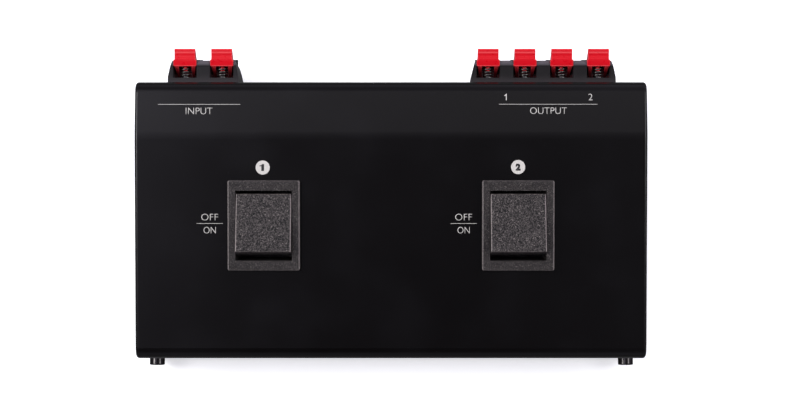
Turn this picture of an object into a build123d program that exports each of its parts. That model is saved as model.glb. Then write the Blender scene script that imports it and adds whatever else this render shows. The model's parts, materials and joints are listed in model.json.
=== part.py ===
from build123d import *
import math
import os

os.makedirs("parts", exist_ok=True)

# ---------------------------------------------------------------- driving dimensions
# Millimetres and degrees. X runs along the width, Y from front to rear, Z upwards.

# Case: a folded steel cover over a steel tray
case_width = 177.0
case_depth = 95.5
front_height = 32.0  # front face, up to the sharp corner that it makes with the switch panel
panel_run = 76.5  # depth that the sloping switch panel takes up
panel_slope = 7.0
sheet = 1.0  # steel sheet of the cover and the tray
long_bend_radius = 4.0  # outside radius of the bends along the front and rear top edges
crease_radius = 20.0  # outside radius where the panel turns into the level rear strip
side_bend_radius = 1.1  # outside radius of the bends down to the side walls
tray_gap = 0.2  # between the tray's flanges and the cover
tray_flange_height = 9.0
tray_bend_radius = 1.6

# Case screws, M3 pan heads on lock washers, through the front and rear walls into the tray's flanges
case_screw_inset_x = 4.2  # screw's centre from the case's side
case_screw_height = 6.0  # above the case's lower edge
case_screw_diameter = 2.9
case_screw_hole = 3.4
case_screw_length = 5.75
case_screw_head_diameter = 5.4
case_screw_head_height = 1.75
case_washer_diameter = 5.4
case_washer_bore = 3.2
case_washer_thickness = 0.75
case_washer_slit = 0.4
screw_head_dome = 0.15  # rise of a pan head's top
screw_head_edge = 0.4  # radius round a pan head's top
screw_collar_diameter = 5.0  # extruded collar round each tapped hole
screw_collar_length = 1.4
thread_gap = 0.05  # between a screw's shank and its tapped hole

# Feet
foot_diameter = 10.0
foot_height = 2.0
foot_inset_x = 14.0  # foot's centre from the case's side
foot_inset_y = 13.0  # foot's centre from the case's front or rear
foot_edge_radius = 0.5

# Rocker switches, snapped into the panel
switch_spacing = 87.6
switch_up_slope = 46.0  # switch's centre from the panel's front corner, along the slope
bezel_width = 24.9
bezel_length = 31.2
bezel_height = 2.3
bezel_edge_radius = 0.6
bezel_corner_radius = 0.8
opening_width = 19.5
opening_length = 24.1
body_width = 21.7
body_length = 27.8
body_depth = 19.0  # below the panel's outer face
body_floor = 2.0
cutout_gap = 0.2  # between the body and the panel's cut-out, on each side
snap_reach = 0.9  # how far a snap wing stands out of the body
snap_width = 8.0
snap_height = 5.0
pole_offset = 4.8  # each pole's distance from the switch's middle
pole_barrier = 1.0
barrier_margin = 0.8  # barrier's length past each end of the contact arms

# Rocker
rocker_width = 19.1
rocker_face_length = 20.4
rocker_face_height = 5.1  # above its pivot
rocker_tilt = 12.5  # each way from level
rocker_wall = 1.3
rocker_end_draft = 0.1  # how far each end leans in from the face to the skirt's lower edge
rocker_skirt_drop = 2.6  # lower edge of its ends, below its pivot
rocker_edge_radius = 0.5
pivot_drop = 0.75  # pivot below the panel's outer face
pivot_pin_diameter = 3.0
pivot_pin_length = 0.8
running_gap = 0.05  # radial, between a pin and its hole
plunger_diameter = 2.4
plunger_tip_drop = 7.0  # plunger's tip below the rocker's pivot
plunger_tube_wall = 0.7
plunger_tube_drop = 4.4
plunger_spring_wire = 0.3
plunger_spring_turns = 4

# Contacts in a switch: a tilting arm for each pole, on the edge of its middle lug
arm_length = 17.0
arm_width = 3.8
arm_thickness = 0.9
arm_gap = 0.12  # under the plunger's tip when both are level
arm_tilt = 8.0
contact_button_diameter = 2.6
contact_button_height = 0.5
contact_gap = 0.08
lug_width = 4.8
lug_thickness = 0.8
lug_reach = 7.0  # below the body
lug_spacing = 7.6  # load lug from the middle lug

# Terminal blocks on the rear wall: two rows of sprung levers
terminal_pitch = 12.9
input_columns = 2
output_columns = 4
input_block_inset = 22.6  # block's middle from the case's left side
output_block_inset = 35.1  # block's middle from the case's right side
block_centre_height = 20.5  # above the case's lower edge
block_height = 24.0
block_reach = 8.95  # how far the housing stands out of the rear wall
block_end_trim = 1.0  # housing's length, short of its columns' whole pitch
block_end_taper = 1.45  # how far each end draws in at its outer face
block_end_bulge = 0.42  # share of the taper that is reached half way out
block_floor = 2.4
block_edge_radius = 3.0
block_web = 1.0  # between the upper and the lower row
pocket_width = 8.3
band_wall = 1.9  # outer wall that the wires go in through
band_half_height = 4.6
wire_bore_diameter = 3.0
wire_bore_height = 2.6  # above or below the block's middle
wire_bore_chamfer = 0.25
spigot_depth = 2.4  # insulating spigot behind the housing, through the rear wall
spigot_height = 6.0
spigot_gap = 0.2

# Terminal levers, drawn for the upper row; the lower row mirrors it
lever_width = 7.3
lever_reach = 12.7  # outermost point of the lever at rest, from the rear wall
lever_pivot_reach = 3.9
lever_pivot_height = 5.3
lever_barrel_radius = 1.2
lever_trunnion_radius = 0.8
lever_trunnion_length = 0.9
lever_plate_radius = 0.75  # half the finger plate's thickness
lever_root_reach = 7.9
lever_root_height = 5.85
lever_tip_height = 11.9
lever_crease_reach = 8.4
lever_crease_height = 11.6
lever_lip_reach = 7.0
lever_lip_height = 11.2
lever_cap_radius = 0.5  # half the cap's thickness, from the crease to the lip
lever_cap_overhang = 0.37  # the cap is this much wider than the lever, at each side
finger_hollow_radius = 3.0
finger_hollow_depth = 0.25
lever_web = 1.45
lever_back_width = 5.5  # across the barrel, from where the lever widens to the cap
lever_nose_radius = 0.45
lever_nose_reach = 0.75  # nose tip's centre, outwards from the pivot
lever_nose_gap = 0.35  # above the contact strip at rest
lever_nose_width = 4.6

# Lever springs
spring_diameter = 3.7
spring_wire = 0.45
spring_turns = 5
spring_height = 8.8  # coil's axis above the block's middle
spring_seat_reach = 8.0
spring_gap = 0.05
spring_peg_diameter = 1.8
spring_peg_height = 1.0

# Wire contacts in a terminal block
strip_width = 6.0
strip_thickness = 0.5
tab_width = 1.8
tab_offset = 1.5
tab_reach = 5.0  # behind the spigot
tab_gap = 0.1

# Screws that hold the terminal blocks, driven from inside the case
block_screw_diameter = 2.2
block_screw_depth = 5.5
block_screw_height = 8.6  # above and below the block's middle
block_screw_head_diameter = 4.6
block_screw_head_height = 1.7
block_screw_hole = 2.8

# Wires inside: each runs down from its ends, then across the case in a lane of its own
wire_diameter = 1.6
wire_bend_radius = 1.6
wire_pair_gap = 0.1  # between two wires that share a lug or a tab
wire_floor_gap = 0.6  # under the wires that run across the case
middle_wire_rise = 3.4  # wires from the middle lugs run rearwards this far above the lanes
load_wire_rise = 6.6  # wires from the load lugs run rearwards this far above the lanes
lane_pitch = 2.6
lane_count = 7
last_lane_inset = 15.8  # from the rear wall's outer face

# ---------------------------------------------------------------- derived places
base_z = foot_height
screw_stand = case_washer_thickness + case_screw_head_height
overall_depth = screw_stand + case_depth + lever_reach
front_y = screw_stand - overall_depth / 2
rear_y = front_y + case_depth
slope = math.radians(panel_slope)
front_top_z = base_z + front_height
rear_top_z = front_top_z + panel_run * math.tan(slope)
block_z = base_z + block_centre_height
screw_z = base_z + case_screw_height
case_screw_x = case_width / 2 - case_screw_inset_x
window_height = spigot_height + 2 * spigot_gap
arm_pivot_w = -pivot_drop - plunger_tip_drop - arm_gap - arm_thickness
block_screws = {
    "input": [0.0],
    "output": [-terminal_pitch, terminal_pitch],
}
blocks = {
    "input": (input_block_inset - case_width / 2, input_columns),
    "output": (case_width / 2 - output_block_inset, output_columns),
}
rows = {"red": 1, "black": -1}
nodes = {}


# ---------------------------------------------------------------- helpers
def block_at(x_range, y_range, z_range):
    """Box between the given pairs of limits."""
    low = [min(r) for r in (x_range, y_range, z_range)]
    size = [abs(r[1] - r[0]) for r in (x_range, y_range, z_range)]
    corner = (Align.MIN, Align.MIN, Align.MIN)
    return Pos(*low) * Box(*size, align=corner)


def rod(start, end, radius):
    """Round bar from one point to another."""
    path = Vector(*end) - Vector(*start)
    base = (Align.CENTER, Align.CENTER, Align.MIN)
    return Plane(origin=start, z_dir=path) * Cylinder(radius, path.length, align=base)


def hull(circles):
    """Outline round circles (x, y, radius), joined by their tangents."""
    rounds = [CenterArc((x, y), radius, 0, 360) for x, y, radius in circles]
    return make_hull(rounds)


def across(outline, width):
    """Outline in the YZ plane, as thick as width along X, centred."""
    return extrude(Plane.YZ * outline, width / 2, both=True)


def coil(diameter, wire, length, turns):
    """Compression spring standing on the XY plane."""
    rise = length - wire
    line = Helix(pitch=rise / turns, height=rise, radius=(diameter - wire) / 2)
    section = Plane(origin=line @ 0, z_dir=line % 0) * Circle(wire / 2)
    return Pos(0, 0, wire / 2) * sweep(section, line, is_frenet=True)


def column_places(columns):
    """X of each terminal column, from the block's middle."""
    return [(i - (columns - 1) / 2) * terminal_pitch for i in range(columns)]


def panel_frame(x):
    """Frame on the panel's outer face at a switch: x across, y up the slope, z outwards."""
    origin = (
        x,
        front_y + switch_up_slope * math.cos(slope),
        front_top_z + switch_up_slope * math.sin(slope),
    )
    normal = (0, -math.sin(slope), math.cos(slope))
    return Plane(origin=origin, x_dir=(1, 0, 0), z_dir=normal)


switch_planes = [panel_frame(side * switch_spacing / 2) for side in (-1, 1)]


# ---------------------------------------------------------------- cover
def case_outline(lower):
    """Side view of the case, bends rounded, reaching down to the height lower."""
    corners = [
        (front_y, lower),
        (front_y, front_top_z),
        (front_y + panel_run, rear_top_z),
        (rear_y, rear_top_z),
        (rear_y, lower),
    ]
    outline = make_face(Polyline(*corners, close=True))
    bends = [
        (front_y, front_top_z, long_bend_radius),
        (front_y + panel_run, rear_top_z, crease_radius),
        (rear_y, rear_top_z, long_bend_radius),
    ]
    for y, z, radius in bends:
        corner = outline.vertices().sort_by_distance((y, z, 0))[0]
        outline = fillet(corner, radius)
    return outline


def bent_block(outline, width, end_radius):
    """Outline across the width, with the edges round both ends bent, apart from the lower ones."""
    solid = across(outline, width)
    lower = solid.bounding_box().min.Z
    ends = [
        edge
        for edge in solid.edges()
        if abs(abs(edge.center().X) - width / 2) < 1e-6 and edge.center().Z > lower + 1e-6
    ]
    return fillet(ends, end_radius)


def case_screw_places():
    """X and Y of each case screw on the case's outer faces, with its outward direction."""
    return [
        (x, y, out)
        for x in (-case_screw_x, case_screw_x)
        for y, out in ((front_y, -1), (rear_y, 1))
    ]


def make_cover():
    cover = bent_block(case_outline(base_z), case_width, side_bend_radius)
    inner = offset(case_outline(base_z - 3 * sheet), -sheet)
    inner_radius = side_bend_radius - sheet
    cover -= bent_block(inner, case_width - 2 * sheet, inner_radius)
    for plane in switch_planes:
        length = body_length + 2 * cutout_gap
        cover -= plane * Box(body_width + 2 * cutout_gap, length, 4 * sheet)
    for x, y, out in case_screw_places():
        hole_start = (x, y - 2 * sheet * out, screw_z)
        cover -= rod(hole_start, (x, y + out, screw_z), case_screw_hole / 2)
    for name, (block_x, columns) in blocks.items():
        half = columns * terminal_pitch / 2 - terminal_pitch / 2 + pocket_width / 2
        y_range = (rear_y - 2 * sheet, rear_y + sheet)
        z_range = (block_z - window_height / 2, block_z + window_height / 2)
        cover -= block_at((block_x - half, block_x + half), y_range, z_range)
        for x in block_screws[name]:
            for z in (-block_screw_height, block_screw_height):
                start = (block_x + x, y_range[0], block_z + z)
                end = (block_x + x, y_range[1], block_z + z)
                cover -= rod(start, end, block_screw_hole / 2)
    return cover


# ---------------------------------------------------------------- tray, feet, case screws
def make_tray():
    y0 = front_y + sheet + tray_gap
    y1 = rear_y - sheet - tray_gap
    z0 = base_z
    z1 = base_z + tray_flange_height
    outer = make_face(Polyline((y0, z0), (y0, z1), (y1, z1), (y1, z0), close=True))
    corners = outer.vertices().sort_by(Axis.Y)[:2]
    outer = fillet(corners, tray_bend_radius)
    inner = offset(outer, -sheet) + Pos((y0 + y1) / 2, z1) * Rectangle(
        y1 - y0 - 2 * sheet, 2 * tray_flange_height - 4 * sheet
    )
    width = case_width - 2 * sheet - 2 * tray_gap
    tray = across(outer - inner, width)
    for x, y, out in case_screw_places():
        wall = y - out * (sheet + tray_gap)
        collar_end = wall - out * (sheet + screw_collar_length)
        collar_start = (x, wall - out * sheet, screw_z)
        tray += rod(collar_start, (x, collar_end, screw_z), screw_collar_diameter / 2)
        hole = case_screw_diameter / 2 + thread_gap
        tray -= rod((x, wall + out, screw_z), (x, collar_end - out, screw_z), hole)
    return tray


def make_foot(x, y):
    base = (Align.CENTER, Align.CENTER, Align.MIN)
    foot = Pos(x, y) * Cylinder(foot_diameter / 2, foot_height, align=base)
    return fillet(foot.edges().sort_by(Axis.Z)[0], foot_edge_radius)


def pan_screw(head_diameter, head_height, shank_diameter, shank_length):
    """Pan-head screw with a cross recess. Its head sits on the XY plane and its shank points down."""
    radius = head_diameter / 2
    rim = (radius, head_height - screw_head_dome)
    profile = Polyline((0, head_height), (0, 0), (radius, 0), rim)
    profile += ThreePointArc(rim, (radius / 2, head_height - screw_head_dome / 4), (0, head_height))
    section = make_face(profile)
    section = fillet(section.vertices().sort_by_distance((*rim, 0))[0], screw_head_edge)
    screw = revolve(Plane.XZ * section, Axis.Z)
    shank = (Align.CENTER, Align.CENTER, Align.MAX)
    screw += Cylinder(shank_diameter / 2, shank_length, align=shank)
    slot = Box(0.55 * head_diameter, 0.16 * head_diameter, 1.2 * head_height)
    for turn in (0, 90):
        screw -= Pos(0, 0, head_height) * Rot(0, 0, turn) * slot
    return screw


def wall_planes(y, out):
    """Planes of the two screws in the wall at y, whose outside faces the direction out."""
    return [
        Plane(origin=(x, y, screw_z), x_dir=(1, 0, 0), z_dir=(0, out, 0))
        for x in (-case_screw_x, case_screw_x)
    ]


def make_case_washers(y, out):
    """The pair of split lock washers under the screws' heads."""
    base = (Align.CENTER, Align.CENTER, Align.MIN)
    washer = Cylinder(case_washer_diameter / 2, case_washer_thickness, align=base)
    washer -= Cylinder(case_washer_bore / 2, case_washer_thickness, align=base)
    slit = Box(case_washer_diameter, case_washer_slit, 3 * case_washer_thickness)
    washer -= Pos(case_washer_diameter / 2, 0, 0) * Rot(20, 0, 0) * slit
    return Compound([plane * washer for plane in wall_planes(y, out)])


def make_case_screws(y, out):
    """The pair of case screws in the wall at y."""
    screws = []
    for plane in wall_planes(y, out):
        screw = pan_screw(
            case_screw_head_diameter,
            case_screw_head_height,
            case_screw_diameter,
            case_screw_length,
        )
        screws.append(plane * Pos(0, 0, case_washer_thickness) * Rot(0, 0, 28) * screw)
    return Compound(screws)


# ---------------------------------------------------------------- rocker switches
# Drawn in the panel's frame: x across, y up the slope, z out of the panel.
def make_switch_body():
    above = (Align.CENTER, Align.CENTER, Align.MIN)
    solid = Box(bezel_width, bezel_length, bezel_height, align=above)
    solid = fillet(solid.edges().filter_by(Axis.Z), bezel_corner_radius)
    solid = fillet(solid.faces().sort_by(Axis.Z)[-1].edges(), bezel_edge_radius)
    below = (Align.CENTER, Align.CENTER, Align.MAX)
    solid += Box(body_width, body_length, body_depth, align=below)
    cavity_depth = body_depth - body_floor
    cavity = Pos(0, 0, bezel_height + 1) * Box(
        opening_width, opening_length, bezel_height + 1 + cavity_depth, align=below
    )
    solid -= cavity
    barrier_top = arm_pivot_w + arm_thickness + 1.0
    barrier_end = arm_length / 2 + barrier_margin
    solid += block_at(
        (-pole_barrier / 2, pole_barrier / 2),
        (-barrier_end, barrier_end),
        (-cavity_depth, barrier_top),
    )
    pin_hole = pivot_pin_diameter / 2 + running_gap
    wall_outside = body_width / 2 + 0.01
    solid -= rod((-wall_outside, 0, -pivot_drop), (wall_outside, 0, -pivot_drop), pin_hole)
    for side in (-1, 1):
        top = -sheet - cutout_gap
        end = side * body_length / 2
        wing = make_face(
            Polyline(
                (end, top), (end + side * snap_reach, top), (end, top - snap_height), close=True
            )
        )
        solid += across(wing, snap_width)
        stop_y = (-arm_length / 2 + 0.2, -arm_length / 2 + 2.2)
        stop_x = (side * pole_offset - arm_width / 2, side * pole_offset + arm_width / 2)
        stop_top = arm_pivot_w - math.sin(math.radians(arm_tilt)) * arm_length / 2 - contact_gap
        solid += block_at(stop_x, stop_y, (-cavity_depth, stop_top))
        for y in (0, lug_spacing):
            solid -= Pos(side * pole_offset, y, -body_depth + body_floor / 2) * Box(
                lug_width + 2 * contact_gap, lug_thickness + 2 * contact_gap, 2 * body_floor
            )
    return solid


def rocker_outline(inset):
    """Side view of the level rocker about its pivot, drawn in by inset."""
    top = rocker_face_height - inset
    low = -rocker_skirt_drop
    half_top = rocker_face_length / 2 - inset
    half_low = half_top - rocker_end_draft
    return Polyline((-half_top, top), (half_top, top), (half_low, low), (-half_low, low), close=True)


def make_rocker():
    """Hollow rocker, level, with its pivot on the X axis."""
    solid = across(make_face(rocker_outline(0)), rocker_width)
    upper = [e for e in solid.edges() if e.center().Z > rocker_face_height - 1e-6]
    solid = fillet(upper, rocker_edge_radius)
    inner = across(make_face(rocker_outline(rocker_wall)), rocker_width - 2 * rocker_wall)
    solid -= inner
    for side in (-1, 1):
        cheek_radius = pivot_pin_diameter
        cheek_top = rocker_face_height - rocker_edge_radius - cheek_radius
        cheek = hull([(0, 0, cheek_radius), (0, cheek_top, cheek_radius)])
        middle = side * (rocker_width - rocker_wall) / 2
        solid += Pos(middle, 0, 0) * across(cheek, rocker_wall)
        solid += rod(
            (side * (rocker_width / 2 - rocker_wall), 0, 0),
            (side * (rocker_width / 2 + pivot_pin_length), 0, 0),
            pivot_pin_diameter / 2,
        )
        pole = side * pole_offset
        tube = plunger_diameter / 2 + running_gap + plunger_tube_wall
        ceiling = rocker_face_height - rocker_wall
        solid += rod((pole, 0, -plunger_tube_drop), (pole, 0, ceiling), tube)
        solid -= rod((pole, 0, -plunger_tube_drop), (pole, 0, ceiling), tube - plunger_tube_wall)
    return solid


def make_plunger():
    """Round-nosed plunger, its tip at the bottom."""
    radius = plunger_diameter / 2
    ceiling = rocker_face_height - rocker_wall
    length = (plunger_tip_drop + ceiling) / 2
    solid = rod((0, 0, -plunger_tip_drop + radius), (0, 0, -plunger_tip_drop + length), radius)
    solid += Pos(0, 0, -plunger_tip_drop + radius) * Sphere(radius)
    return solid


def make_plunger_spring():
    """Spring between the plunger and the rocker's ceiling."""
    ceiling = rocker_face_height - rocker_wall
    low = -plunger_tip_drop + (plunger_tip_drop + ceiling) / 2
    return Pos(0, 0, low) * coil(
        plunger_diameter - 2 * running_gap, plunger_spring_wire, ceiling - low, plunger_spring_turns
    )


def make_arm():
    """Level contact arm, with the knife edge that carries it on the X axis."""
    solid = block_at(
        (-arm_width / 2, arm_width / 2), (-arm_length / 2, arm_length / 2), (0, arm_thickness)
    )
    groove = lug_thickness / 2 + running_gap
    solid -= rod((-arm_width, 0, 0), (arm_width, 0, 0), groove)
    button = contact_button_diameter / 2
    solid += rod((0, lug_spacing, 0), (0, lug_spacing, -contact_button_height), button)
    return solid


def make_middle_lug():
    """Common lug of a pole, whose rounded upper edge carries the contact arm."""
    edge = lug_thickness / 2
    low = -body_depth - lug_reach
    blade = hull([(0, arm_pivot_w, edge), (0, low + edge, edge)])
    return across(blade, lug_width)


def make_load_lug():
    """Load lug of a pole, bent over at the top under the arm's button."""
    closed_drop = lug_spacing * math.sin(math.radians(arm_tilt)) + contact_button_height
    top = arm_pivot_w - closed_drop - contact_gap
    low = -body_depth - lug_reach
    half = lug_thickness / 2
    shelf = contact_button_diameter / 2 + 0.3
    outline = Polyline(
        (lug_spacing - shelf, top),
        (lug_spacing + half, top),
        (lug_spacing + half, low + half),
        (lug_spacing, low),
        (lug_spacing - half, low + half),
        (lug_spacing - half, top - lug_thickness),
        (lug_spacing - shelf, top - lug_thickness),
        close=True,
    )
    return across(make_face(outline), lug_width)


def make_switches():
    rocker = Pos(0, 0, -pivot_drop) * Rot(-rocker_tilt, 0, 0)
    for number, plane in enumerate(switch_planes, start=1):
        name = f"switch_{number}"
        nodes[f"{name}_body"] = plane * make_switch_body()
        nodes[f"{name}_rocker"] = plane * rocker * make_rocker()
        plungers = []
        springs = []
        lugs = []
        for side, pole in ((-1, "left"), (1, "right")):
            shift = Pos(side * pole_offset, 0, 0)
            plungers.append(plane * rocker * shift * make_plunger())
            springs.append(plane * rocker * shift * make_plunger_spring())
            lugs.append(plane * shift * make_middle_lug())
            lugs.append(plane * shift * make_load_lug())
            arm = Pos(0, 0, arm_pivot_w) * Rot(arm_tilt, 0, 0) * make_arm()
            nodes[f"{name}_contact_arm_{pole}"] = plane * shift * arm
        nodes[f"{name}_plungers"] = Compound(plungers)
        nodes[f"{name}_plunger_springs"] = Compound(springs)
        nodes[f"{name}_lugs"] = Compound(lugs)


# ---------------------------------------------------------------- terminal blocks
# Drawn from the rear wall's outer face: y outwards, z from the block's middle.
def make_block_housing(name, columns):
    half = (columns * terminal_pitch - block_end_trim) / 2
    half_out = half - block_end_taper
    reach = block_reach
    middle = (half - block_end_bulge * block_end_taper, (block_floor + reach) / 2)
    plan = Polyline((-half, block_floor), (-half, 0), (half, 0), (half, block_floor))
    plan += ThreePointArc((half, block_floor), middle, (half_out, reach))
    plan += Line((half_out, reach), (-half_out, reach))
    plan += ThreePointArc((-half_out, reach), (-middle[0], middle[1]), (-half, block_floor))
    side = Pos(reach / 2, 0) * Rectangle(reach, block_height)
    outer = side.vertices().sort_by(Axis.X)[-2:]
    side = fillet(outer, block_edge_radius)
    solid = extrude(make_face(plan), block_height, both=True) & across(side, 2 * half)
    spigot = columns * terminal_pitch / 2 - terminal_pitch / 2 + pocket_width / 2 - spigot_gap
    solid += block_at(
        (-spigot, spigot), (-spigot_depth, 0), (-spigot_height / 2, spigot_height / 2)
    )
    band_inner = reach - band_wall
    top = block_height / 2 + 1
    pocket = Polyline(
        (block_floor, block_web / 2),
        (band_inner, block_web / 2),
        (band_inner, band_half_height),
        (reach + 1, band_half_height),
        (reach + 1, top),
        (block_floor, top),
        close=True,
    )
    pocket = across(make_face(pocket), pocket_width)
    trunnion = pocket_width / 2 + lever_trunnion_length
    bore = wire_bore_diameter / 2
    mouth = bore + wire_bore_chamfer
    upright = (Align.CENTER, Align.CENTER, Align.MIN)
    for x in column_places(columns):
        for row in rows.values():
            cut = pocket if row > 0 else mirror(pocket, Plane.XY)
            solid -= Pos(x, 0, 0) * cut
            z = row * wire_bore_height
            solid -= rod((x, band_inner - 0.5, z), (x, reach + 1, z), bore)
            cone = Cone(bore, mouth, wire_bore_chamfer, align=upright)
            solid -= Plane(origin=(x, reach - wire_bore_chamfer, z), z_dir=(0, 1, 0)) * cone
            z = row * lever_pivot_height
            solid -= rod(
                (x - trunnion, lever_pivot_reach, z),
                (x + trunnion, lever_pivot_reach, z),
                lever_trunnion_radius + running_gap,
            )
            z = row * spring_height
            peg_end = block_floor + spring_peg_height
            solid += rod((x, block_floor, z), (x, peg_end, z), spring_peg_diameter / 2)
            solid -= tab_slot(x, row)
    for x in block_screws[name]:
        for z in (-block_screw_height, block_screw_height):
            pilot = block_screw_diameter / 2 + thread_gap
            solid -= rod((x, 0, z), (x, block_screw_depth + 0.5, z), pilot)
    return solid


def tab_limits(x, row, gap):
    """Limits across and in height of a contact's tab, grown by gap."""
    middle = x - row * tab_offset
    near = block_web / 2 - gap
    far = block_web / 2 + strip_thickness + gap
    x_range = (middle - tab_width / 2 - gap, middle + tab_width / 2 + gap)
    return x_range, (row * near, row * far)


def tab_slot(x, row):
    """Slot that lets a contact's tab through the housing's floor and spigot."""
    x_range, z_range = tab_limits(x, row, tab_gap)
    return block_at(x_range, (-spigot_depth - 1, block_floor + 0.01), z_range)


def make_contact(x, row):
    """Wire contact: a strip in the pocket and a solder tab behind the spigot."""
    y_range = (block_floor, block_reach - band_wall - tab_gap)
    z_range = (row * block_web / 2, row * (block_web / 2 + strip_thickness))
    strip = block_at((x - strip_width / 2, x + strip_width / 2), y_range, z_range)
    tab_x, tab_z = tab_limits(x, row, 0)
    return strip + block_at(tab_x, (-spigot_depth - tab_reach, block_floor), tab_z)


def finger_hollow(crease, tip):
    """Cylinder that hollows the finger plate's upper face, between its rounds (y, z, radius)."""
    start = Vector(0, crease[0], crease[1])
    end = Vector(0, tip[0], tip[1])
    out = (end - start).normalized().rotate(Axis.X, 90)
    half_thickness = (crease[2] + tip[2]) / 2
    rise = half_thickness + finger_hollow_radius - finger_hollow_depth
    middle = (start + end) / 2 + out * rise
    side = Vector(lever_width, 0, 0)
    return rod(middle - side, middle + side, finger_hollow_radius)


def lever_plan(lip_edge, back_edge):
    """Upright prism that narrows a lever from its lip to its barrel."""
    half_cap = lever_width / 2 + lever_cap_overhang
    right = [
        (half_cap, lever_reach),
        (half_cap, lip_edge),
        (lever_width / 2, lip_edge),
        (lever_back_width / 2, back_edge),
    ]
    left = [(-x, y) for x, y in reversed(right)]
    return extrude(make_face(Polyline(*right, *left, close=True)), block_height)


def make_lever():
    """Upper lever at rest, in the middle of its column."""
    barrel = (lever_pivot_reach, lever_pivot_height, lever_barrel_radius)
    root = (lever_root_reach, lever_root_height, lever_plate_radius)
    tip = (lever_reach - lever_plate_radius, lever_tip_height, lever_plate_radius)
    crease = (lever_crease_reach, lever_crease_height, lever_cap_radius)
    lip = (lever_lip_reach, lever_lip_height, lever_cap_radius)
    nose_low = block_web / 2 + strip_thickness + lever_nose_gap + lever_nose_radius
    nose = (lever_pivot_reach + lever_nose_reach, nose_low, lever_nose_radius)
    solid = across(hull([barrel, root]), lever_width)
    for pair in ([root, tip], [tip, crease]):
        solid += across(hull(pair), lever_width)
    solid += across(hull([crease, lip]), lever_width + 2 * lever_cap_overhang)
    solid += across(hull([barrel, nose]), lever_nose_width)
    shell = hull([barrel, root, tip, crease, lip])
    for side in (-1, 1):
        middle = side * (lever_width - lever_web) / 2
        solid += Pos(middle, 0, 0) * across(shell, lever_web)
    post = rod(
        (0, spring_seat_reach, spring_height), (0, lever_reach, spring_height), spring_diameter / 2
    )
    solid += post & across(shell, lever_width)
    solid &= lever_plan(lip[0] - lip[2], barrel[0] - barrel[2])
    solid -= finger_hollow(crease, tip)
    peg_end = spring_seat_reach - spring_peg_height
    solid += rod(
        (0, spring_seat_reach, spring_height), (0, peg_end, spring_height), spring_peg_diameter / 2
    )
    ends = lever_width / 2 + (pocket_width - lever_width) / 2 + lever_trunnion_length
    ends -= running_gap
    trunnion_start = (-ends, lever_pivot_reach, lever_pivot_height)
    trunnion_end = (ends, lever_pivot_reach, lever_pivot_height)
    solid += rod(trunnion_start, trunnion_end, lever_trunnion_radius)
    return solid


def make_lever_spring():
    length = spring_seat_reach - block_floor - 2 * spring_gap
    base = Plane(origin=(0, block_floor + spring_gap, spring_height), z_dir=(0, 1, 0))
    return base * coil(spring_diameter, spring_wire, length, spring_turns)


def make_block_screws(name):
    screws = []
    for x in block_screws[name]:
        for z in (-block_screw_height, block_screw_height):
            plane = Plane(origin=(x, -sheet, z), x_dir=(1, 0, 0), z_dir=(0, -1, 0))
            screw = pan_screw(
                block_screw_head_diameter,
                block_screw_head_height,
                block_screw_diameter,
                sheet + block_screw_depth,
            )
            screws.append(plane * screw)
    return screws


def make_blocks():
    lever = make_lever()
    spring = make_lever_spring()
    screws = []
    for name, (block_x, columns) in blocks.items():
        place = Pos(block_x, rear_y, block_z)
        nodes[f"{name}_block_housing"] = place * make_block_housing(name, columns)
        contacts = []
        for number, x in enumerate(column_places(columns), start=1):
            for colour, row in rows.items():
                shift = place * Pos(x, 0, 0)
                for kind, shape in (("lever", lever), ("spring", spring)):
                    turned = shape if row > 0 else mirror(shape, Plane.XY)
                    nodes[f"{name}_{kind}_{colour}_{number}"] = shift * turned
                contacts.append(place * make_contact(x, row))
        nodes[f"{name}_contacts"] = Compound(contacts)
        screws += [place * screw for screw in make_block_screws(name)]
    nodes["block_screws"] = Compound(screws)


# ---------------------------------------------------------------- wires
lane_z = base_z + sheet + wire_floor_gap + wire_diameter / 2
pair_shift = (wire_diameter + wire_pair_gap) / 2


def tab_end(name, column, colour, shift=0):
    """Points of a wire from a terminal's tab to its lane, given the lane's Y."""
    block_x, columns = blocks[name]
    row = rows[colour]
    x = block_x + column_places(columns)[column - 1] - row * tab_offset + shift
    z = block_z + row * (block_web + strip_thickness) / 2
    y = rear_y - spigot_depth - tab_reach
    return lambda lane_y: [(x, y, z), (x, lane_y, z), (x, lane_y, lane_z)]


def lug_end(number, side, along, rise, shift=0):
    """Points of a wire from a switch's lug to its lane, given the lane's Y."""
    plane = switch_planes[number - 1]
    local = Vector(side * pole_offset + shift, along, -body_depth - lug_reach)
    start = plane.from_local_coords(local)
    level = lane_z + rise
    turn = start - plane.z_dir * ((start.Z - level) / plane.z_dir.Z)
    x = turn.X
    return lambda lane_y: [start, turn, (x, lane_y, level), (x, lane_y, lane_z)]


def middle_end(number, side, shift=0):
    return lug_end(number, side, 0, middle_wire_rise, shift)


def load_end(number, side):
    return lug_end(number, side, lug_spacing, load_wire_rise)


def make_wire(lane, start, end):
    lane_y = rear_y - last_lane_inset - (lane_count - lane) * lane_pitch
    points = start(lane_y) + end(lane_y)[::-1]
    line = FilletPolyline(*points, radius=wire_bend_radius)
    section = Plane(origin=line @ 0, z_dir=line % 0) * Circle(wire_diameter / 2)
    return sweep(section, line)


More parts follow.
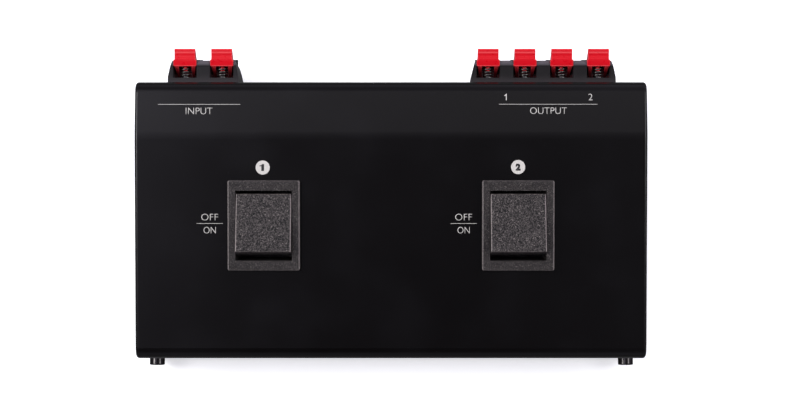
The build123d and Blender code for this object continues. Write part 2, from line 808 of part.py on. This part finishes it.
def make_wires():
    """Red wires go through the switches; black ones join the terminals, one pair after the other."""
    left, right = -1, 1
    nodes["red_wires"] = Compound(
        [
            make_wire(1, tab_end("input", 1, "red"), middle_end(1, left, -pair_shift)),
            make_wire(1, middle_end(1, right, pair_shift), middle_end(2, right)),
            make_wire(2, tab_end("input", 2, "red"), middle_end(1, right, -pair_shift)),
            make_wire(3, middle_end(1, left, pair_shift), middle_end(2, left)),
            make_wire(4, load_end(1, left), tab_end("output", 1, "red")),
            make_wire(4, load_end(2, left), tab_end("output", 3, "red")),
            make_wire(5, load_end(1, right), tab_end("output", 2, "red")),
            make_wire(5, load_end(2, right), tab_end("output", 4, "red")),
        ]
    )
    nodes["black_wires"] = Compound(
        [
            make_wire(6, tab_end("input", 1, "black"), tab_end("output", 1, "black", -pair_shift)),
            make_wire(6, tab_end("output", 1, "black", pair_shift), tab_end("output", 3, "black")),
            make_wire(7, tab_end("input", 2, "black"), tab_end("output", 2, "black", -pair_shift)),
            make_wire(7, tab_end("output", 2, "black", pair_shift), tab_end("output", 4, "black")),
        ]
    )


# ---------------------------------------------------------------- assembly
nodes["top_cover"] = make_cover()
nodes["base_tray"] = make_tray()
for side, x in (("left", -1), ("right", 1)):
    for end, y in (("front", front_y + foot_inset_y), ("rear", rear_y - foot_inset_y)):
        foot = make_foot(x * (case_width / 2 - foot_inset_x), y)
        nodes[f"foot_{end}_{side}"] = foot
nodes["front_case_screws"] = make_case_screws(front_y, -1)
nodes["rear_case_screws"] = make_case_screws(rear_y, 1)
nodes["front_case_washers"] = make_case_washers(front_y, -1)
nodes["rear_case_washers"] = make_case_washers(rear_y, 1)
make_switches()
make_blocks()
make_wires()

for node, shape in nodes.items():
    export_step(shape, f"parts/{node}.step")
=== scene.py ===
"""Looks of the speaker selector switch: materials, lettering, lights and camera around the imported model."""

import json
import math

import bmesh
import bpy
from mathutils import Matrix, Vector

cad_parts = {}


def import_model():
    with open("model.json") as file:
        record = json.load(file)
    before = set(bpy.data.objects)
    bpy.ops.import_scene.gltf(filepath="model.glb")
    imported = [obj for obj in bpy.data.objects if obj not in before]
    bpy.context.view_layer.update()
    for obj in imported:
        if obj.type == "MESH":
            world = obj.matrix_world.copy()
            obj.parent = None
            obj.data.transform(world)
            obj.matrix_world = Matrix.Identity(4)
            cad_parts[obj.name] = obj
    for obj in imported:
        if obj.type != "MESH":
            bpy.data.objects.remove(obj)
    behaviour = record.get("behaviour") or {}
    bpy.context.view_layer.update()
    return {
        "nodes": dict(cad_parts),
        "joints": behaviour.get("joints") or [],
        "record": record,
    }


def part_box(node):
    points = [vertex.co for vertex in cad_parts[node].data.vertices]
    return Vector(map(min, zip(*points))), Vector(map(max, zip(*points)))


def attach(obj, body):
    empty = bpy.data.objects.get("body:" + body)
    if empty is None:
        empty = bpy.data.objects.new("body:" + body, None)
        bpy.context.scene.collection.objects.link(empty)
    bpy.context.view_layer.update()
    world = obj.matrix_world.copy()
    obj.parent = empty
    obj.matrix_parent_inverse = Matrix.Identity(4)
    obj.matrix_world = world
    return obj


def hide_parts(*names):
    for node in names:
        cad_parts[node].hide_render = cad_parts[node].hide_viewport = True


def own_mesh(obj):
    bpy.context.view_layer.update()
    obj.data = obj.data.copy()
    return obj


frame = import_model()

# ---------------------------------------------------------------- driving sizes, in metres
MM = 0.001
PANEL_SLOPE = math.radians(7.0)
FRONT_HEIGHT = 32.0 * MM  # case's front face, up to the corner that it makes with the panel
SWITCH_UP_SLOPE = 46.0 * MM  # from that corner to the middle of the switches

PEG_LENGTH = 2.7 * MM
PEG_BASE_RADIUS = 0.9 * MM
PEG_TIP_RADIUS = 0.75 * MM

INK_THICKNESS = 0.02 * MM
LINE_WIDTH = 0.135 * MM
CAP_HEIGHT = 2.27 * MM
LABEL_WEIGHT = -0.013  # offset of the outline of letters 1 high: less than 0 thins the strokes

DISC_DIAMETER = 4.87 * MM
DISC_RIGHT = (-0.42 * MM, 0.01 * MM)  # to the right of each switch's centre
DISC_UP = (19.95 * MM, 20.11 * MM)  # above each switch's centre, along the slope
ONE_SIZE = (1.6 * MM, 2.35 * MM)
ONE_STEM = 0.95 * MM
ONE_RIGHT = -0.33 * MM  # figure 1, to the right of its disc's centre
TWO_SIZE = (1.7 * MM, 2.45 * MM)
TWO_WEIGHT = 0.075  # as above: more than 0 thickens the strokes

LABEL_LEFT = 18.75 * MM  # label's middle, left of the switch's centre
OFF_UP = 2.85 * MM
BETWEEN_UP = 0.65 * MM
ON_UP = -1.65 * MM
OFF_WIDTH = 5.8 * MM
BETWEEN_WIDTH = 9.1 * MM
ON_WIDTH = 4.2 * MM

case_low, case_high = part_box("top_cover")
front_top_z = case_low.z + FRONT_HEIGHT
switch_x = [sum(c.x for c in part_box(f"switch_{n}_body")) / 2 for n in (1, 2)]


def place_on_panel(x, along):
    """Matrix of a place on the sloping panel: x across, y up the slope, z outwards."""
    across = Vector((1, 0, 0))
    up = Vector((0, math.cos(PANEL_SLOPE), math.sin(PANEL_SLOPE)))
    out = across.cross(up)
    origin = Vector((x, case_low.y, front_top_z)) + up * along
    return Matrix.Translation(origin) @ Matrix((across, up, out)).transposed().to_4x4()


def place_on_strip(x, depth):
    """Matrix of a place on the level strip along the rear, that deep behind the front face."""
    return Matrix.Translation((x, case_low.y + depth, case_high.z))


def add_object(name, data):
    """Object with that mesh, lamp or camera, linked into the scene."""
    piece = bpy.data.objects.new(name, data)
    bpy.context.scene.collection.objects.link(piece)
    return piece


# ---------------------------------------------------------------- nodes
class Wiring:
    """Adds nodes to the tree of a material or world. A value is a node's output, a number or a colour."""

    def __init__(self, owner):
        owner.use_nodes = True
        self.nodes = owner.node_tree.nodes
        self.links = owner.node_tree.links

    def feed(self, value, socket):
        """Gives the value to a node's input."""
        if isinstance(value, bpy.types.NodeSocket):
            self.links.new(value, socket)
        else:
            socket.default_value = value

    def math(self, operation, first, *others):
        """The values joined by that operation, one after the other."""
        for other in others:
            node = self.nodes.new("ShaderNodeMath")
            node.operation = operation
            self.feed(first, node.inputs[0])
            self.feed(other, node.inputs[1])
            first = node.outputs["Value"]
        return first

    def size(self, value):
        """value without its sign."""
        return self.math("ABSOLUTE", value, 0)

    def ramp(self, value, low, high, out_low=0.0, out_high=1.0):
        """value, stretched from low..high to out_low..out_high and held inside."""
        node = self.nodes.new("ShaderNodeMapRange")
        numbers = {"From Min": low, "From Max": high, "To Min": out_low, "To Max": out_high}
        for key, number in numbers.items():
            node.inputs[key].default_value = number
        self.feed(value, node.inputs["Value"])
        return node.outputs["Result"]

    def mix(self, share, color, other):
        """Colour with that share of the other in it."""
        node = self.nodes.new("ShaderNodeMix")
        node.data_type = "RGBA"
        self.feed(color, node.inputs["A"])
        self.feed(other, node.inputs["B"])
        self.feed(share, node.inputs["Factor"])
        return node.outputs["Result"]

    def split(self, vector):
        """The vector's three values."""
        node = self.nodes.new("ShaderNodeSeparateXYZ")
        self.feed(vector, node.inputs[0])
        return node.outputs


class Shading(Wiring):
    """A node material with one Principled shader, fed by object coordinates in metres."""

    def __init__(self, name, color, roughness, metallic=0.0, ior=1.5):
        self.material = bpy.data.materials.new(name)
        super().__init__(self.material)
        self.shader = self.nodes["Principled BSDF"]
        self.shader.inputs["Base Color"].default_value = (*color, 1)
        self.shader.inputs["Roughness"].default_value = roughness
        self.shader.inputs["Metallic"].default_value = metallic
        self.shader.inputs["IOR"].default_value = ior
        self.coordinates = self.nodes.new("ShaderNodeTexCoord").outputs

    def noise(self, feature, detail=2.0, stretch=(1, 1, 1), rough=0.5):
        """Noise whose lumps are about as large as feature."""
        mapping = self.nodes.new("ShaderNodeMapping")
        mapping.inputs["Scale"].default_value = stretch
        texture = self.nodes.new("ShaderNodeTexNoise")
        texture.inputs["Scale"].default_value = 1 / feature
        texture.inputs["Detail"].default_value = detail
        texture.inputs["Roughness"].default_value = rough
        self.feed(self.coordinates["Object"], mapping.inputs["Vector"])
        self.feed(mapping.outputs["Vector"], texture.inputs["Vector"])
        return texture.outputs["Fac"]

    def grains(self, size):
        """A random value for each grain of that size."""
        texture = self.nodes.new("ShaderNodeTexVoronoi")
        texture.inputs["Scale"].default_value = 1 / size
        self.feed(self.coordinates["Object"], texture.inputs["Vector"])
        return texture.outputs["Color"]

    def normal(self):
        """The surface's normal, as three values."""
        return self.split(self.coordinates["Normal"])

    def edges(self):
        """1 on the rounds between faces that look along the axes, 0 on those faces."""
        largest = self.math("MAXIMUM", *(self.size(value) for value in self.normal()))
        return self.ramp(largest, 0.985, 0.94)

    def rims(self, width):
        """1 along sharp edges and creases, within that width, 0 elsewhere."""
        rounded = self.nodes.new("ShaderNodeBevel")
        rounded.inputs["Radius"].default_value = width
        rounded.samples = 8
        turn = self.nodes.new("ShaderNodeVectorMath")
        turn.operation = "DOT_PRODUCT"
        self.feed(rounded.outputs["Normal"], turn.inputs[0])
        self.feed(self.nodes.new("ShaderNodeNewGeometry").outputs["Normal"], turn.inputs[1])
        return self.ramp(turn.outputs["Value"], 0.996, 0.97)

    def openness(self, distance):
        """1 in the open, less in recesses that are narrower than distance."""
        shade = self.nodes.new("ShaderNodeAmbientOcclusion")
        shade.inputs["Distance"].default_value = distance
        return shade.outputs["AO"]

    def tint(self, share, other):
        """Mixes another colour into the present base colour, by share."""
        socket = self.shader.inputs["Base Color"]
        present = socket.links[0].from_socket if socket.is_linked else tuple(socket.default_value)
        self.feed(self.mix(share, present, (*other, 1)), socket)

    def roughen(self, value):
        """Takes the value as the roughness."""
        self.feed(value, self.shader.inputs["Roughness"])

    def bump(self, height, depth):
        """Relief of that depth in metres."""
        node = self.nodes.new("ShaderNodeBump")
        node.inputs["Distance"].default_value = depth
        self.feed(height, node.inputs["Height"])
        self.feed(node.outputs["Normal"], self.shader.inputs["Normal"])


# ---------------------------------------------------------------- materials
DULL_IOR = 1.3  # paint and plastics that mirror less than the usual 1.5


def scaled(color, factor):
    """The colour, that many times as bright."""
    return tuple(factor * value for value in color)


def case_paint():
    """Satin black powder coat with fine orange peel, dust and faint smudges."""
    paint = Shading("case_paint", (0.0009, 0.0005, 0.0005), 0.25, ior=DULL_IOR)
    smudges = paint.noise(22 * MM)
    paint.tint(paint.ramp(smudges, 0.5, 0.75, 0, 0.5), (0.0026, 0.0023, 0.0027))
    dust = paint.ramp(paint.noise(0.35 * MM, 1), 0.77, 0.8)
    patches = paint.ramp(paint.noise(30 * MM), 0.4, 0.6, 0.2, 1)
    paint.tint(paint.math("MULTIPLY", dust, patches), (0.03, 0.03, 0.032))
    paint.roughen(paint.ramp(smudges, 0.3, 0.75, 0.23, 0.27))
    paint.bump(paint.noise(0.5 * MM), 0.002 * MM)
    return paint.material


def eroded_plastic(name, color, light, grain, depth, roughness):
    """Spark-eroded nylon: fine pits with pale rims, the brightest grains painted lighter as glints, and edges
    worn smooth and painted lighter as a highlight.
    """
    plastic = Shading(name, color, roughness, ior=DULL_IOR)
    pits = plastic.noise(grain, 1, rough=0.7)
    grains = plastic.grains(grain)
    plastic.tint(plastic.ramp(grains, 0.4, 0.65), light)
    plastic.tint(plastic.ramp(plastic.noise(6 * MM), 0.45, 0.8, 0, 0.2), light)
    # painted glints: the brightest grains are painted much lighter
    plastic.tint(plastic.ramp(grains, 0.8, 0.9, 0, 0.85), scaled(light, 3.2))
    # painted highlight: rounded edges are painted lighter, most where they face left or right; the same mask
    # also makes them smoother, as wear does
    sideways = plastic.ramp(plastic.size(plastic.normal()["X"]), 0.2, 0.5, 0.15, 1)
    worn = plastic.math("MULTIPLY", plastic.edges(), sideways)
    highlit_edge_grains = plastic.math("MULTIPLY", worn, plastic.ramp(grains, 0.2, 0.6, 0.4, 1))
    plastic.tint(highlit_edge_grains, scaled(light, 4.5))
    grainy = plastic.ramp(pits, 0.3, 0.7, roughness - 0.08, roughness + 0.12)
    smooth = plastic.math("MULTIPLY", worn, roughness - 0.18)
    plastic.roughen(plastic.math("SUBTRACT", grainy, smooth))
    plastic.bump(pits, depth)
    return plastic.material


def moulded_plastic(name, color, roughness, worn, edge=None, rim_highlight=None, recess_shading=None):
    """Moulded plastic with a faint flow pattern, painted highlights on its edges and rims, and a painted
    shading colour in recesses.
    """
    plastic = Shading(name, color, roughness, ior=DULL_IOR)
    plastic.tint(plastic.ramp(plastic.noise(3 * MM, 3), 0.45, 0.8, 0, 0.3), worn)
    if edge:
        # painted highlight: rounded edges that face the rear are painted lighter
        rearward = plastic.ramp(plastic.normal()["Y"], 0.1, 0.95)
        plastic.tint(plastic.math("MULTIPLY", plastic.edges(), rearward), edge)
    if rim_highlight:
        # painted highlight: rounds that lean away from the top, and sharp edges and creases, are painted
        # lighter
        upward = plastic.normal()["Z"]
        leaning = plastic.ramp(upward, 0.95, 0.9)
        rounds = plastic.math("MULTIPLY", leaning, plastic.ramp(upward, 0.5, 0.65))
        plastic.tint(plastic.math("MAXIMUM", rounds, plastic.rims(0.3 * MM)), rim_highlight)
    if recess_shading:
        # painted shading: recesses, found by ambient occlusion, are painted in another colour, darker on the
        # red levers and lighter on the terminal housing
        plastic.tint(plastic.ramp(plastic.openness(6 * MM), 0.85, 0.2), recess_shading)
    flow = plastic.noise(1.2 * MM, 3)
    plastic.roughen(plastic.ramp(flow, 0.3, 0.7, roughness - 0.05, roughness + 0.08))
    plastic.bump(plastic.noise(0.25 * MM), 0.003 * MM)
    return plastic.material


def metal(name, color, roughness, grain, streaks=(1, 1, 1)):
    """Bare or plated metal with fine marks along streaks."""
    bare = Shading(name, color, roughness, metallic=1.0)
    marks = bare.noise(grain, 3, streaks)
    bare.tint(bare.ramp(marks, 0.4, 0.8, 0, 0.4), scaled(color, 0.6))
    bare.roughen(bare.ramp(marks, 0.3, 0.7, roughness - 0.05, roughness + 0.1))
    bare.bump(marks, 0.002 * MM)
    return bare.material


def rubber():
    """Matt rubber, dusty in places."""
    soft = Shading("foot_rubber", (0.018, 0.018, 0.018), 0.75)
    soft.tint(soft.ramp(soft.noise(1.5 * MM, 3), 0.5, 0.8, 0, 0.5), (0.05, 0.048, 0.045))
    soft.bump(soft.noise(0.3 * MM), 0.02 * MM)
    return soft.material


def ink(name, color):
    """Screen-printed ink, slightly uneven."""
    layer = Shading(name, color, 0.55)
    layer.tint(layer.ramp(layer.noise(0.3 * MM), 0.4, 0.8, 0, 0.35), scaled(color, 0.75))
    return layer.material


ERODED = {
    "switch_plastic": {
        "color": (0.0103, 0.0088, 0.0082),
        "light": (0.046, 0.0405, 0.038),
        "grain": 0.22 * MM,
        "depth": 0.03 * MM,
        "roughness": 0.38,
    },
    "rocker_plastic": {
        "color": (0.002, 0.0017, 0.0016),
        "light": (0.066, 0.0575, 0.054),
        "grain": 0.25 * MM,
        "depth": 0.06 * MM,
        "roughness": 0.5,
    },
}
MOULDED = {
    "terminal_plastic": {
        "color": (0.0025, 0.0016, 0.0015),
        "roughness": 0.34,
        "worn": (0.009, 0.0078, 0.0085),
        # painted highlight on rounded edges that face the rear
        "edge": (0.17, 0.155, 0.17),
        # painted light: recesses are painted lighter than the base
        "recess_shading": (0.05, 0.042, 0.045),
    },
    "lever_red": {
        "color": (0.64, 0.002, 0.01),
        "roughness": 0.3,
        "worn": (0.66, 0.005, 0.014),
        # painted highlight on rounds, sharp edges and creases
        "rim_highlight": (0.86, 0.075, 0.085),
        # painted shade: recesses are painted darker
        "recess_shading": (0.07, 0.004, 0.006),
    },
    "lever_black": {"color": (0.013, 0.013, 0.014), "roughness": 0.3, "worn": (0.03, 0.03, 0.03)},
    "peg_red": {"color": (0.64, 0.004, 0.012), "roughness": 0.35, "worn": (0.66, 0.006, 0.015)},
    "peg_black": {"color": (0.013, 0.013, 0.014), "roughness": 0.35, "worn": (0.03, 0.03, 0.03)},
    "plunger_plastic": {"color": (0.7, 0.7, 0.66), "roughness": 0.3, "worn": (0.6, 0.6, 0.55)},
    "wire_red": {"color": (0.5, 0.012, 0.014), "roughness": 0.4, "worn": (0.4, 0.02, 0.02)},
    "wire_black": {"color": (0.014, 0.014, 0.015), "roughness": 0.4, "worn": (0.03, 0.03, 0.03)},
}
METALS = {
    "tray_steel": {
        "color": (0.42, 0.42, 0.43),
        "roughness": 0.4,
        "grain": 0.5 * MM,
        "streaks": (0.05, 1, 1),
    },
    "case_screw": {"color": (0.03, 0.028, 0.028), "roughness": 0.1, "grain": 0.4 * MM},
    "plain_screw": {"color": (0.55, 0.55, 0.56), "roughness": 0.3, "grain": 0.4 * MM},
    "spring_steel": {"color": (0.15, 0.146, 0.138), "roughness": 0.28, "grain": 0.3 * MM},
    "contact_metal": {"color": (0.6, 0.52, 0.35), "roughness": 0.3, "grain": 0.4 * MM},
}
INKS = {
    "print_ink": (0.6, 0.58, 0.53),
    "disc_ink": (0.62, 0.595, 0.545),
    "digit_ink": (0.003, 0.003, 0.003),
}

materials = {"case_paint": case_paint(), "foot_rubber": rubber()}
for make, looks in ((eroded_plastic, ERODED), (moulded_plastic, MOULDED), (metal, METALS)):
    materials.update({name: make(name, **look) for name, look in looks.items()})
materials.update({name: ink(name, color) for name, color in INKS.items()})

for part in frame["record"]["subparts"]:
    mesh = frame["nodes"][part["node"]].data
    mesh.materials.clear()
    mesh.materials.append(materials[part["material_slot"]])


def coil(node):
    """Copy of the spring with a mesh of its own, riding on the case, in place of the imported one, which is
    hidden.
    """
    piece = add_object(node + "_coil", frame["nodes"][node].data.copy())
    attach(piece, "case")
    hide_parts(node)
    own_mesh(piece)


def peg(node, joint):
    """Long peg that the lever has inside its spring, seen through the coils."""
    low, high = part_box(node)
    middle = (low + high) / 2
    color = "red" if "red" in node else "black"
    radii = {"radius1": PEG_BASE_RADIUS, "radius2": PEG_TIP_RADIUS}
    work = bmesh.new()
    bmesh.ops.create_cone(work, cap_ends=True, segments=32, depth=PEG_LENGTH, **radii)
    inwards = Matrix.Rotation(math.radians(90), 4, "X")
    centre = Matrix.Translation((middle.x, high.y - PEG_LENGTH / 2, middle.z))
    bmesh.ops.transform(work, matrix=centre @ inwards, verts=work.verts)
    mesh = bpy.data.meshes.new(node + "_peg")
    work.to_mesh(mesh)
    work.free()
    mesh.materials.append(materials[f"peg_{color}"])
    piece = add_object(node + "_peg", mesh)
    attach(piece, joint["child"])


for joint in frame["joints"]:
    for spring in joint.get("deforming_nodes", []):
        coil(spring["node"])
        peg(spring["node"], joint)


# ---------------------------------------------------------------- lettering
def thicken(mesh, place):
    """Turns a flat mesh on place into a thin closed layer."""
    work = bmesh.new()
    work.from_mesh(mesh)
    bmesh.ops.remove_doubles(work, verts=work.verts, dist=1e-7)
    layer = bmesh.ops.extrude_face_region(work, geom=work.faces[:])
    risen = [item for item in layer["geom"] if isinstance(item, bmesh.types.BMVert)]
    rise = place.to_3x3() @ Vector((0, 0, INK_THICKNESS))
    bmesh.ops.translate(work, verts=risen, vec=rise)
    bmesh.ops.recalc_face_normals(work, faces=work.faces)
    work.to_mesh(mesh)
    work.free()


def print_mesh(name, mesh, place, material):
    """Prints the flat mesh on the case."""
    thicken(mesh, place)
    mesh.materials.append(materials[material])
    piece = add_object(name, mesh)
    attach(piece, "case")


def lettering(name, words, place, width, height=CAP_HEIGHT, material="print_ink", weight=LABEL_WEIGHT):
    """Words centred on place, as wide and high as said. weight is the offset of their outline."""
    curve = bpy.data.curves.new(name, "FONT")
    curve.body = words
    curve.offset = weight
    curve.resolution_u = 6
    source = add_object(name + "_source", curve)
    mesh = bpy.data.meshes.new_from_object(source.evaluated_get(bpy.context.evaluated_depsgraph_get()))
    bpy.data.objects.remove(source)
    mesh.name = name
    xs = [v.co.x for v in mesh.vertices]
    ys = [v.co.y for v in mesh.vertices]
    scale = Vector((width / (max(xs) - min(xs)), height / (max(ys) - min(ys))))
    for vertex in mesh.vertices:
        x = (vertex.co.x - (max(xs) + min(xs)) / 2) * scale.x
        y = (vertex.co.y - (max(ys) + min(ys)) / 2) * scale.y
        vertex.co = place @ Vector((x, y, 0))
    print_mesh(name, mesh, place, material)


def printed_shape(name, outline, place, material="print_ink"):
    """Thin printed shape with that outline, in metres on place."""
    mesh = bpy.data.meshes.new(name)
    corners = [place @ Vector((x, y, 0)) for x, y in outline]
    mesh.from_pydata(corners, [], [range(len(corners))])
    print_mesh(name, mesh, place, material)


def printed_one(name, place, width, height, stem, material="print_ink"):
    """Figure 1 with a flag, centred on place."""
    right, low, high = width / 2, -height / 2, height / 2
    outline = [
        (right - stem, low),
        (right, low),
        (right, high),
        (right - 0.75 * stem, high),
        (right - 0.55 * width, high - 0.15 * height),
        (-right, high - 0.21 * height),
        (-right, high - 0.33 * height),
        (right - stem, high - 0.3 * height),
    ]
    printed_shape(name, outline, place, material)


def printed_line(name, place, length):
    """Level line, centred on place."""
    x, y = length / 2, LINE_WIDTH / 2
    printed_shape(name, [(-x, -y), (x, -y), (x, y), (-x, y)], place)


def printed_disc(name, place, diameter):
    """Disc of pale ink, centred on place."""
    count = 72
    turns = [2 * math.pi * i / count for i in range(count)]
    outline = [(diameter / 2 * math.cos(t), diameter / 2 * math.sin(t)) for t in turns]
    printed_shape(name, outline, place, "disc_ink")


for number, x in enumerate(switch_x, start=1):
    disc = place_on_panel(x + DISC_RIGHT[number - 1], SWITCH_UP_SLOPE + DISC_UP[number - 1])
    printed_disc(f"disc_{number}", disc, DISC_DIAMETER)
    on_disc = disc @ Matrix.Translation((0, 0, INK_THICKNESS))
    if number == 1:
        beside = on_disc @ Matrix.Translation((ONE_RIGHT, 0, 0))
        printed_one("digit_1", beside, *ONE_SIZE, ONE_STEM, "digit_ink")
    else:
        lettering("digit_2", "2", on_disc, *TWO_SIZE, "digit_ink", TWO_WEIGHT)
    off, between, on = (
        place_on_panel(x - LABEL_LEFT, SWITCH_UP_SLOPE + up) for up in (OFF_UP, BETWEEN_UP, ON_UP)
    )
    lettering(f"off_{number}", "OFF", off, OFF_WIDTH)
    printed_line(f"off_on_line_{number}", between, BETWEEN_WIDTH)
    lettering(f"on_{number}", "ON", on, ON_WIDTH)

lettering("input_word", "INPUT", place_on_strip(x=-66.2 * MM, depth=84.92 * MM), width=9.2 * MM)
printed_line("input_line", place_on_strip(x=-66.17 * MM, depth=87.22 * MM), length=28.46 * MM)
lettering("output_word", "OUTPUT", place_on_strip(x=54.31 * MM, depth=85.03 * MM), width=12.7 * MM)
printed_line("output_line", place_on_strip(x=54.26 * MM, depth=87.26 * MM), length=33.95 * MM)
output_one = place_on_strip(x=39.5 * MM, depth=89.77 * MM)
printed_one("output_1", output_one, width=0.85 * MM, height=CAP_HEIGHT, stem=0.32 * MM)
lettering("output_2", "2", place_on_strip(x=68.84 * MM, depth=89.77 * MM), width=1.5 * MM)


# ---------------------------------------------------------------- floor, lights, camera
FLOOR_HALF = 3.0
FLOOR_COLOR = 0.16
FLOOR_CAMERA_COLOR = 1.0
FLOOR_LIFT = 0.47  # glow that makes the unshaded floor white
MIRRORED_SHARE = 0.12  # share of that glow that reflections show
WORLD_MIRRORED_SHARE = 0.02  # share of the world's white that reflections show

STUDIO_COLOR = (0.83, 0.81, 0.97, 1)
LEFT_PANEL_GLOW = 5.0
LEFT_PANEL_FRONT_SHARE = 0.15
RIGHT_GLOW = 0.3
REAR_GLOW = 0.52
HORIZON_GLOW = 0.35

CAMERA_LENS = 80.9
CAMERA_PLACE = (0.0031, -0.05254, 0.6583)
CAMERA_TILT = math.radians(5.0)  # from straight down, towards the front


def seen_share(wiring, path, mirrored_share):
    """1 for what the camera sees straight or through glass, less for reflections, else 0."""
    mirrored = wiring.math("MULTIPLY", path["Is Glossy Ray"], mirrored_share)
    return wiring.math("MAXIMUM", mirrored, path["Is Camera Ray"], path["Is Transmission Ray"])


def floor():
    """Wide pale floor that keeps the shadow and looks white to the camera."""
    mesh = bpy.data.meshes.new("floor")
    corners = [(x * FLOOR_HALF, y * FLOOR_HALF, 0) for x, y in ((-1, -1), (1, -1), (1, 1), (-1, 1))]
    mesh.from_pydata(corners, [], [(0, 1, 2, 3)])
    piece = add_object("floor", mesh)
    material = bpy.data.materials.new("floor")
    wiring = Wiring(material)
    wiring.nodes.clear()
    output = wiring.nodes.new("ShaderNodeOutputMaterial")
    diffuse = wiring.nodes.new("ShaderNodeBsdfDiffuse")
    glow = wiring.nodes.new("ShaderNodeEmission")
    path = wiring.nodes.new("ShaderNodeLightPath").outputs
    lift = wiring.math("MULTIPLY", seen_share(wiring, path, MIRRORED_SHARE), FLOOR_LIFT)
    wiring.feed(lift, glow.inputs["Strength"])
    dim, pale = ((value, value, value, 1) for value in (FLOOR_COLOR, FLOOR_CAMERA_COLOR))
    wiring.feed(wiring.mix(path["Is Camera Ray"], dim, pale), diffuse.inputs["Color"])
    add = wiring.nodes.new("ShaderNodeAddShader")
    wiring.feed(diffuse.outputs[0], add.inputs[0])
    wiring.feed(glow.outputs[0], add.inputs[1])
    wiring.feed(add.outputs[0], output.inputs["Surface"])
    mesh.materials.append(material)


def world():
    """White to the camera, and otherwise a dim studio.

    It is paler at the horizon, behind and at the right, with a bright soft panel at the left.
    """
    scene_world = bpy.data.worlds.new("studio")
    bpy.context.scene.world = scene_world
    wiring = Wiring(scene_world)
    x, y, z = wiring.split(wiring.nodes.new("ShaderNodeTexCoord").outputs["Generated"])
    left_panel = wiring.math(
        "MULTIPLY",
        wiring.ramp(x, -0.15, -0.26, 0, LEFT_PANEL_GLOW),
        wiring.ramp(x, -0.42, -0.34),
        wiring.ramp(y, -0.3, -0.05, LEFT_PANEL_FRONT_SHARE, 1),
        wiring.ramp(y, 0.6, 0.35),
    )
    sides = wiring.math("ADD", left_panel, wiring.ramp(x, -0.02, 0.16, 0, RIGHT_GLOW))
    rear = wiring.ramp(y, -0.25, 0.35, 0, REAR_GLOW)
    horizon = wiring.ramp(z, 0.6, 0.3, 0, HORIZON_GLOW)
    studio = wiring.nodes["Background"]
    studio.inputs["Color"].default_value = STUDIO_COLOR
    wiring.feed(wiring.math("ADD", rear, horizon, sides), studio.inputs["Strength"])
    white = wiring.nodes.new("ShaderNodeBackground")
    white.inputs["Color"].default_value = (1, 1, 1, 1)
    white.inputs["Strength"].default_value = 1
    path = wiring.nodes.new("ShaderNodeLightPath").outputs
    mix = wiring.nodes.new("ShaderNodeMixShader")
    wiring.feed(seen_share(wiring, path, WORLD_MIRRORED_SHARE), mix.inputs["Fac"])
    wiring.feed(studio.outputs[0], mix.inputs[1])
    wiring.feed(white.outputs[0], mix.inputs[2])
    wiring.feed(mix.outputs[0], wiring.nodes["World Output"].inputs["Surface"])


def area_light(name, place, target, size, power, color=(1, 1, 1)):
    """Rectangular lamp that looks at the target."""
    lamp = bpy.data.lights.new(name, "AREA")
    lamp.shape = "RECTANGLE"
    lamp.size, lamp.size_y = size
    lamp.energy = power
    lamp.color = color
    piece = add_object(name, lamp)
    piece.location = place
    aim = Vector(target) - Vector(place)
    piece.rotation_euler = aim.to_track_quat("-Z", "Y").to_euler()


floor()
world()
area_light(
    "overhead",
    place=(0, 0.25, 0.95),
    target=(0, 0.06, 0.03),
    size=(0.8, 0.24),
    power=0.48,
    color=(1, 0.97, 1),
)
area_light("left", place=(-0.65, 0.06, 0.65), target=(0, 0, 0.03), size=(0.3, 0.28), power=4.6)
area_light("right", place=(0.65, 0.06, 0.65), target=(0, 0, 0.03), size=(0.3, 0.28), power=2.5)

camera = add_object("camera", bpy.data.cameras.new("camera"))
camera.data.lens = CAMERA_LENS
camera.location = CAMERA_PLACE
camera.rotation_euler = (CAMERA_TILT, 0, 0)
bpy.context.scene.camera = camera
bpy.context.scene.view_settings.view_transform = "Standard"
